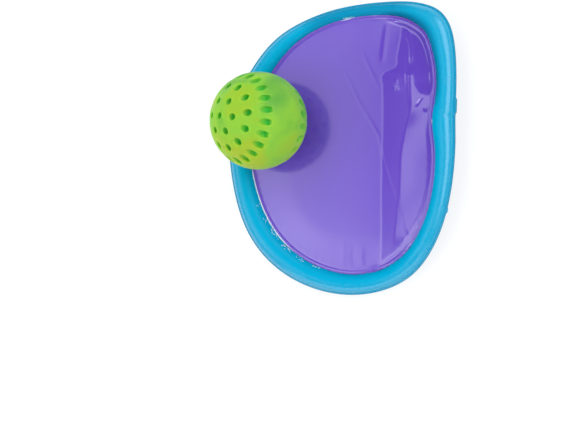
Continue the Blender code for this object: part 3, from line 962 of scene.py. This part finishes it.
def film_height(flat, outline):
    """Height of the film's top over the flat layout, at places inside its outline."""
    x, y = flat.T
    coarse = outline[::4]
    edge = np.concatenate([distance_to(coarse, part) for part in np.array_split(flat, 16)])
    free_edge = np.full(len(flat), np.inf)
    for point in coarse[coarse[:, 0] < FREE_EDGE_X]:
        free_edge = np.minimum(free_edge, np.hypot(x - point[0], y - point[1]))
    level = curl(at_height(flat, 0.0))
    uprightness = (curl(at_height(flat, MM))[:, 2] - level[:, 2]) / MM
    weld = curl(at_height(outline[outline[:, 0] > FREE_EDGE_X], FILM_EDGE_HEIGHT))
    folded, share = folded_height(level[:, 0], y, weld - (0.0, 0.0, FILM_LEVEL))
    crown = FILM_CROWN * smoothstep(free_edge / CROWN_REACH) * (1.0 - share)
    stretched = (FILM_LEVEL + folded + crown - level[:, 2]) / uprightness

    free = smoothstep((edge - FREE_FROM) / FREE_OVER)
    height = FILM_EDGE_HEIGHT + free * (stretched - FILM_EDGE_HEIGHT)
    for rise, gap, width in WELD_LINES:
        height = height + rise * MM * bump_at(edge, gap * MM, width * MM)
    for line, rise, reach, sharp in FILM_CREASES:
        height = height + free * crease(x, y, line, rise, reach, sharp)
    heading = np.arctan2(y, x)
    gather = np.cos(GATHERS * heading + 3.0 * np.sin(7.0 * heading)) * bump_at(edge, 0.0, GATHER_REACH)
    return height + GATHER_HEIGHT * gather * smoothstep((edge - GATHER_FROM) / GATHER_OVER)


def film_skin(sides, offsets, ring_count):
    """Points and faces of one side of the film: rings along its edge, then rings in to its middle."""
    outline, inward = film_outline(sides)
    centre = outline.mean(axis=0)
    rings = [outline + inward * offset for offset in offsets]
    last = rings[-1]
    rings += [centre + (last - centre) * share for share in np.linspace(1.0, 0.0, ring_count + 1)[1:-1]]
    flat = np.vstack([*rings, [centre]])
    tip = len(rings) * sides
    faces = grid_faces(len(rings), sides, close_rows=False) + fan_faces(tip - sides, sides, tip)
    return np.column_stack((flat, film_height(flat, outline))), faces


def highlight_share(x, y):
    """How much painted highlight the bead carries at each place: most at the lower left, some elsewhere."""
    clear = 1.0
    for places, (start, over) in zip((x, y), HIGHLIGHT_SIDE):
        clear = clear * smoothstep((start * MM - places) / (over * MM))
    for spot_x, spot_y, reach in HIGHLIGHT_SPOTS:
        gap = np.hypot(x - spot_x * MM, y - spot_y * MM)
        clear = np.maximum(clear, 1.0 - smoothstep(gap / (reach * MM)))
    return clear


def build_film(sizes, colours):
    """The film to catch on, its folds, the bead along its weld, and pale flecks beside that as painted
    glints.
    """
    top, faces = film_skin(FILM_SIDES, EDGE_OFFSETS, FILM_RINGS)
    half = FILM_SIDES // 2
    under, under_faces = film_skin(half, EDGE_OFFSETS[::2], FILM_RINGS // 2)
    under[:, 2] -= FILM_THICKNESS
    count = len(top)
    faces += [tuple(count + index for index in reversed(face)) for face in under_faces]
    faces += [
        (2 * side, 2 * side + 1, (2 * side + 2) % FILM_SIDES, count + (side + 1) % half, count + side)
        for side in range(half)
    ]
    film = mesh_object("catching_film", placed(np.vstack((top, under))), faces, film_vinyl(colours))
    face_outwards(film)
    keep(film, "film_vinyl", "catch_film")

    middle, way, radius = ring_line(TUBE_STATIONS)
    line = middle + way * (radius + BEAD_PLACE)[:, None]
    waves = wander(np.arange(TUBE_STATIONS), TUBE_STATIONS, 9.0, seed=23)
    line = at_height(line, FILM_EDGE_HEIGHT - BEAD_DROP + BEAD_WANDER * waves)
    vinyl = bead_vinyl()
    bead = node_piece(
        "film_weld_bead", bead_tree(), {"Bead Radius": sizes.bead_radius, "Material": vinyl},
        guide_mesh("bead_line", placed(line)),
    )
    # Painted highlight: the share of the bead's pale colour at each of its points
    x, y, _ = mesh_points(bead.data).T
    mark(bead, "clear", highlight_share(x, y))
    keep(bead, "film_vinyl")

    # Pale flecks on the tube beside the weld stand for glints, as painted highlights
    lean = np.random.default_rng(41).uniform(*FLECK_LEAN, TUBE_STATIONS)
    spots = middle + way * (radius * np.cos(lean))[:, None]
    near = [np.hypot(*(spots - (x * MM, y * MM)).T) < reach * MM for x, y, reach in FLECK_SPOTS]
    points = placed(at_height(spots, radius * np.sin(lean)))[np.any(near, axis=0)]
    flecks = node_piece(
        "painted_glint_flecks", fleck_tree(),
        {"Fleck Size": sizes.fleck_size, "Share": FLECK_SHARE, "Material": vinyl},
        guide_mesh("fleck_points", points, joined=False),
    )
    # The flecks are painted nearly white all over, a painted highlight
    mark(flecks, "clear", np.ones(len(flecks.data.vertices)))
    keep(flecks, "film_vinyl")
    film_outline(FILM_SIDES)[0]


def pocket_outline():
    """The part of the ring's opening away from the wrist, closed by the straight mouth, laid flat."""
    opening, _ = film_outline(FILM_SIDES)
    past = opening @ MOUTH_WAY - MOUTH_DISTANCE
    enters = next(index for index, value in enumerate(past) if value < 0.0 <= past[index - 1])
    opening = np.roll(opening, -enters, axis=0)
    past = np.roll(past, -enters)
    leaves = int(np.argmax(past >= 0.0))
    ends = []
    for inside, outside in ((leaves - 1, leaves), (0, -1)):
        share = past[inside] / (past[inside] - past[outside])
        ends.append(opening[inside] + share * (opening[outside] - opening[inside]))
    steps = int(np.linalg.norm(ends[1] - ends[0]) / MOUTH_STEP)
    mouth = [ends[0] + (ends[1] - ends[0]) * share for share in np.linspace(0.0, 1.0, steps)]
    return np.vstack((opening[1:leaves - 1], mouth)), opening


def build_pocket(colours):
    """The pocket's sheet, welded round the ring's back and open at its hemmed mouth."""
    outline, opening = pocket_outline()
    centre = outline.mean(axis=0)
    sides = len(outline)
    shares = np.concatenate((
        1.0 - np.array(POCKET_OFFSETS) / POCKET_REACH,
        np.linspace(1.0 - POCKET_INNER_OFFSET / POCKET_REACH, 0.0, POCKET_RINGS + 1)[:-1],
    ))
    rings = [centre + (outline - centre) * share for share in shares]
    flat = np.vstack([*rings, [centre]])
    edge = np.concatenate([*(distance_to(opening, ring) for ring in rings), [POCKET_REACH * MM]])
    mouth_gap = MOUTH_DISTANCE - flat @ MOUTH_WAY
    weld_top = -HALF_WELD - WELD_SINK
    sag_top = POCKET_THICKNESS - ring_depth()
    height = weld_top + (sag_top - weld_top) * smoothstep((edge - POCKET_WELD) / POCKET_SLOPE)
    film_edge, _ = film_outline(FILM_SIDES)
    under_film = film_height(flat, film_edge) - FILM_THICKNESS - SHEET_GAP
    height = np.where(edge > POCKET_WELD, np.minimum(height, under_film), height)
    hem = smoothstep((HEM_WIDTH - mouth_gap) / HEM_STEP)
    weld_line = bump_at(mouth_gap, HEM_WIDTH - HEM_WELD_INSET, HEM_WELD_WIDTH)
    inside = smoothstep((edge - 1.0 * MM) / (3.0 * MM))
    top = height + (HEM_THICKNESS * hem - HEM_WELD_DEPTH * weld_line) * inside
    points = np.vstack((at_height(flat, top), at_height(flat, height - POCKET_THICKNESS)))
    tip = len(rings) * sides
    faces = grid_faces(len(rings), sides, close_rows=False) + fan_faces(tip - sides, sides, tip)
    count = len(flat)
    under = [tuple(count + index for index in reversed(face)) for face in faces]
    rim = [(s, (s + 1) % sides, count + (s + 1) % sides, count + s) for s in range(sides)]
    pocket = mesh_object("pocket_sheet", placed(points), faces + under + rim, pocket_vinyl(colours))
    face_outwards(pocket)
    keep(pocket, "pocket_vinyl", "hand_pocket")


def strap(line, half_width):
    """A flat strap along a line of places beside the valve: how far along the ring, and height."""
    ahead = np.gradient(line, axis=0)
    ahead /= np.linalg.norm(ahead, axis=1)[:, None]
    upward = np.stack((-ahead[:, 1], ahead[:, 0]), axis=1)
    rows = []
    for side, lift in ((-1.0, -0.5), (1.0, -0.5), (1.0, 0.5), (-1.0, 0.5)):
        edge = line + upward * lift * STRAP_THICKNESS
        rows.append(np.column_stack((np.full(len(line), side * half_width), edge)))
    faces = grid_faces(len(line), 4, close_rows=False)
    last = 4 * (len(line) - 1)
    faces += [(0, 1, 2, 3), (last + 3, last + 2, last + 1, last)]
    return np.stack(rows, axis=1).reshape(-1, 3), faces


def build_valve():
    """The inflation valve, pushed home: a disc that follows the tube, a stem, a plug and its straps."""
    index = round(VALVE_SHARE * LINE_STEPS)
    middle, inward, radius = ring_line(LINE_STEPS)
    across_axis = inward[index]
    along_axis = np.array((across_axis[1], -across_axis[0]))
    seat = radius[index] + VALVE_GAP

    def beside_valve(points):
        across, along, height = points.T
        spot = middle[index] + np.outer(across, across_axis) + np.outer(along, along_axis)
        return placed(at_height(spot, height))

    turns = np.linspace(0.0, math.tau, VALVE_SIDES, endpoint=False)
    rings = []
    for distance, drop in VALVE_DISC + VALVE_STEM:
        across = distance * MM * np.cos(turns)
        skin = np.sqrt(seat**2 - across**2) if (distance, drop) in VALVE_DISC else seat
        height = np.broadcast_to(-skin - drop * MM, VALVE_SIDES)
        rings.append(np.column_stack((across, distance * MM * np.sin(turns), height)))
    tips = np.array(((0.0, 0.0, -seat), (0.0, 0.0, -seat - VALVE_STEM[-1][1] * MM)))
    base = len(rings) * VALVE_SIDES
    faces = grid_faces(len(rings), VALVE_SIDES, close_rows=False)
    faces += fan_faces(0, VALVE_SIDES, base) + fan_faces(base - VALVE_SIDES, VALVE_SIDES, base + 1)
    vinyl = valve_vinyl()
    valve = mesh_object("valve_moulding", beside_valve(np.vstack((*rings, tips))), faces, vinyl)
    face_outwards(valve)
    keep(valve, "valve_vinyl", "valve")

    for name, (half_width, line) in VALVE_STRAPS.items():
        points, faces = strap(np.array(line) * MM - (0.0, seat), half_width * MM)
        piece = mesh_object(name, beside_valve(points), faces, vinyl)
        rounding = piece.modifiers.new("rounding", "BEVEL")
        rounding.width = STRAP_ROUNDING
        rounding.segments = 2
        bake_modifiers(piece)
        face_outwards(piece)
        piece.data.shade_smooth()
        keep(piece, "valve_vinyl")


def ball_centre(sizes):
    """Where the part has the ball: on the film, and beside the ring's tube."""
    index = round(BALL_SHARE * LINE_STEPS)
    middle, inward, radius = ring_line(LINE_STEPS)
    height = FILM_TOP + CLEARANCE + sizes.radius
    reach = sizes.radius + CLEARANCE + radius[index]
    inset = math.sqrt(reach**2 - height**2) + BALL_RING_SLACK
    flat = middle[index] + inward[index] * inset
    return Vector((*flat, height)) + Vector(flat_shift())


def pole_matrix():
    """The rotation that takes Z to the pole of the ball's mould."""
    sideways = math.sin(POLE_TILT)
    pole = Vector((sideways * math.cos(POLE_HEADING), sideways * math.sin(POLE_HEADING), math.cos(POLE_TILT)))
    across = Vector((0.0, 1.0, 0.0)).cross(pole).normalized()
    return Matrix((across, pole.cross(across), pole)).transposed()


def pin_tree():
    """A tree that stands the mould's pins on rings round both poles of the ball."""
    tree, given = new_tree("mould_pins", {
        "Ball Radius": "Float", "Pit Radius": "Float", "Pit Depth": "Float", "Pin Sides": "Int",
    })
    radius = given["Ball Radius"]
    length = add_node(tree, "ShaderNodeMath", {"operation": "MULTIPLY", 0: given["Pit Depth"], 1: 2.0})
    pin = add_node(
        tree, "GeometryNodeMeshCylinder",
        {"Vertices": given["Pin Sides"], "Radius": given["Pit Radius"], "Depth": length},
    )
    index = add_node(tree, "GeometryNodeInputIndex", {})
    joined = add_node(tree, "GeometryNodeJoinGeometry", {})
    for pole in (1.0, -1.0):
        for lean, count, first in PIT_RINGS:
            out = math.sin(math.radians(lean))
            up = pole * math.cos(math.radians(lean))
            turn = add_node(
                tree, "ShaderNodeMath",
                {"operation": "MULTIPLY_ADD", 0: index, 1: math.tau / count, 2: math.radians(first)},
            )
            spot = add_node(tree, "ShaderNodeMath", {"operation": "MULTIPLY", 0: radius, 1: out})
            top = add_node(tree, "ShaderNodeMath", {"operation": "MULTIPLY", 0: radius, 1: up})
            cosine = add_node(tree, "ShaderNodeMath", {"operation": "COSINE", 0: turn})
            sine = add_node(tree, "ShaderNodeMath", {"operation": "SINE", 0: turn})
            x = add_node(tree, "ShaderNodeMath", {"operation": "MULTIPLY", 0: cosine, 1: spot})
            y = add_node(tree, "ShaderNodeMath", {"operation": "MULTIPLY", 0: sine, 1: spot})
            place = add_node(tree, "ShaderNodeCombineXYZ", {"X": x, "Y": y, "Z": top})
            points = add_node(tree, "GeometryNodePoints", {"Count": count, "Position": place})
            ring = add_node(tree, "GeometryNodeInstanceOnPoints", {"Points": points, "Instance": pin})
            tree.links.new(ring.outputs["Instances"], joined.inputs["Geometry"])
    return finish_tree(tree, joined, given["Material"])


def build_ball(sizes, colours):
    """The soft ball: a moulded sphere, its blind pits cut by the mould's pins, and every lip rounded."""
    rubber = ball_rubber(sizes, colours)
    pins = node_piece(
        "mould_pins", pin_tree(),
        {"Ball Radius": sizes.radius, "Pit Radius": sizes.pit_radius, "Pit Depth": sizes.pit_depth,
         "Pin Sides": sizes.pin_sides, "Material": rubber},
    )
    build = bmesh.new()
    bmesh.ops.create_icosphere(build, subdivisions=6, radius=sizes.radius)
    mesh = bpy.data.meshes.new("pitted_ball")
    build.to_mesh(mesh)
    build.free()
    mesh.materials.append(rubber)
    ball = bpy.data.objects.new("pitted_ball", mesh)
    bpy.context.collection.objects.link(ball)
    cut = ball.modifiers.new("pits", "BOOLEAN")
    cut.operation = "DIFFERENCE"
    cut.solver = "EXACT"
    cut.object = pins
    even = ball.modifiers.new("skin", "REMESH")
    even.mode = "VOXEL"
    even.voxel_size = SKIN_STEP
    soft = ball.modifiers.new("soften", "SMOOTH")
    soft.factor = 0.5
    soft.iterations = 4
    bake_modifiers(ball)
    bpy.data.objects.remove(pins)
    mark(ball, "sunk", sizes.radius - np.linalg.norm(mesh_points(ball.data), axis=1))
    mesh = ball.data
    mesh.transform(Matrix.Translation(ball_centre(sizes)) @ pole_matrix().to_4x4())
    mesh.shade_smooth()
    if not mesh.materials:
        mesh.materials.append(rubber)
    keep(ball, "ball_rubber", "ball")


def add_lamp(name, across, along, radiance, gloss, fill):
    """A far lamp that fills a range of directions, in degrees from overhead towards +X and towards +Y."""
    data = bpy.data.lights.new(name, "AREA")
    data.shape = "RECTANGLE"
    data.size = 2.0 * LAMP_DISTANCE * math.tan(math.radians(across[1] - across[0]) / 2.0)
    data.size_y = 2.0 * LAMP_DISTANCE * math.tan(math.radians(along[1] - along[0]) / 2.0)
    data.energy = radiance * math.pi * data.size * data.size_y
    lamp = bpy.data.objects.new(name, data)
    turn = (Matrix.Rotation(math.radians(sum(across) / 2.0), 3, "Y")
            @ Matrix.Rotation(math.radians(-sum(along) / 2.0), 3, "X"))
    lamp.location = turn @ Vector((0.0, 0.0, LAMP_DISTANCE))
    lamp.rotation_euler = turn.to_euler()
    lamp.visible_camera = False
    lamp.visible_glossy = gloss
    lamp.visible_diffuse = fill
    bpy.context.collection.objects.link(lamp)


def build_floor():
    """A white card floor that keeps the object's shadow and shows white to the camera and in gloss."""
    white = {"Base Color": (0.86, 0.86, 0.86, 1.0), "Roughness": 0.8, "Specular IOR Level": 0.2}
    card, tree, shader, _ = new_material("floor_white_card", white)
    paths = add_node(tree, "ShaderNodeLightPath", {}).outputs
    seen = paths["Is Camera Ray"]
    for other in ("Is Glossy Ray", "Is Transmission Ray"):
        seen = add_node(tree, "ShaderNodeMath", {"operation": "MAXIMUM", 0: seen, 1: paths[other]}).outputs[0]
    share = add_node(tree, "ShaderNodeMath", {"operation": "MULTIPLY", 0: seen, 1: FLOOR_GLOW_SHARE})
    glow = add_node(tree, "ShaderNodeEmission", {"Color": (1.0, 1.0, 1.0, 1.0), "Strength": 1.1})
    mixed = add_node(tree, "ShaderNodeMixShader", {0: share, 1: shader, 2: glow})
    tree.links.new(mixed.outputs["Shader"], tree.nodes["Material Output"].inputs["Surface"])
    side = FLOOR_SIZE
    corners = [(-side, -side, 0.0), (side, -side, 0.0), (side, side, 0.0), (-side, side, 0.0)]
    floor = mesh_object("floor", corners, [(0, 1, 2, 3)], card)
    floor.location.z = -FLOOR_DROP


def build_stage():
    """The floor, the surroundings, the lamps and the camera."""
    build_floor()
    world = bpy.data.worlds.new("studio")
    bpy.context.scene.world = world
    world.use_nodes = True
    world.cycles_visibility.glossy = False
    tree = world.node_tree
    seen = add_node(tree, "ShaderNodeLightPath", {}).outputs["Is Camera Ray"]
    strength = add_node(tree, "ShaderNodeMapRange", {"Value": seen, "To Min": 0.76, "To Max": 1.0})
    background = tree.nodes["Background"]
    background.inputs["Color"].default_value = (1.0, 1.0, 1.0, 1.0)
    tree.links.new(strength.outputs["Result"], background.inputs["Strength"])
    for name, settings in LAMPS.items():
        add_lamp(name, *settings)

    data = bpy.data.cameras.new("camera")
    data.lens = 85.0
    data.sensor_width = 36.0
    camera = bpy.data.objects.new("camera", data)
    camera.location = CAMERA_PLACE
    camera.rotation_euler = (0.0, CAMERA_TILT, 0.0)
    bpy.context.collection.objects.link(camera)
    bpy.context.scene.camera = camera
    bpy.context.scene.view_settings.view_transform = "Standard"


class MittRing(bpy.types.Operator):
    """Build the inflated ring"""

    bl_idname = "mitt.ring"
    bl_label = "Inflated ring"

    def execute(self, context):
        build_ring(context.scene.mitt_sizes, context.scene.mitt_colours)
        return {"FINISHED"}


class MittFilm(bpy.types.Operator):
    """Build the film to catch on"""

    bl_idname = "mitt.film"
    bl_label = "Catching film"

    def execute(self, context):
        build_film(context.scene.mitt_sizes, context.scene.mitt_colours)
        return {"FINISHED"}


class MittPocket(bpy.types.Operator):
    """Build the hand pocket"""

    bl_idname = "mitt.pocket"
    bl_label = "Hand pocket"

    def execute(self, context):
        build_pocket(context.scene.mitt_colours)
        return {"FINISHED"}


class MittValve(bpy.types.Operator):
    """Build the inflation valve"""

    bl_idname = "mitt.valve"
    bl_label = "Valve"

    def execute(self, context):
        build_valve()
        return {"FINISHED"}


class MittBall(bpy.types.Operator):
    """Build the pitted ball"""

    bl_idname = "mitt.ball"
    bl_label = "Ball"

    def execute(self, context):
        build_ball(context.scene.ball_sizes, context.scene.mitt_colours)
        return {"FINISHED"}


class MittStage(bpy.types.Operator):
    """Set up the floor, the light and the camera"""

    bl_idname = "mitt.stage"
    bl_label = "Stage"

    def execute(self, context):
        build_stage()
        return {"FINISHED"}


OPERATORS = (MittRing, MittFilm, MittPocket, MittValve, MittBall, MittStage)


class MittPanel(bpy.types.Panel):
    """Lists the pieces and their sizes"""

    bl_idname = "VIEW3D_PT_mitt"
    bl_label = "Sticky mitt and ball"
    bl_space_type = "VIEW_3D"
    bl_region_type = "UI"
    bl_category = "Mitt"

    def draw(self, context):
        for settings in (context.scene.mitt_sizes, context.scene.ball_sizes, context.scene.mitt_colours):
            for name in settings.__annotations__:
                self.layout.prop(settings, name)
        for operator in OPERATORS:
            self.layout.operator(operator.bl_idname)


CLASSES = (MittSizes, BallSizes, MittColours, *OPERATORS, MittPanel)


def register():
    for each in CLASSES:
        bpy.utils.register_class(each)
    bpy.types.Scene.mitt_sizes = PointerProperty(type=MittSizes)
    bpy.types.Scene.ball_sizes = PointerProperty(type=BallSizes)
    bpy.types.Scene.mitt_colours = PointerProperty(type=MittColours)


def unregister():
    del bpy.types.Scene.mitt_colours
    del bpy.types.Scene.ball_sizes
    del bpy.types.Scene.mitt_sizes
    for each in reversed(CLASSES):
        bpy.utils.unregister_class(each)


def main():
    """Builds every piece in order."""
    register()
    bpy.ops.mitt.ring()
    bpy.ops.mitt.film()
    bpy.ops.mitt.pocket()
    bpy.ops.mitt.valve()
    bpy.ops.mitt.ball()
    bpy.ops.mitt.stage()


if __name__ == "__main__":
    main()
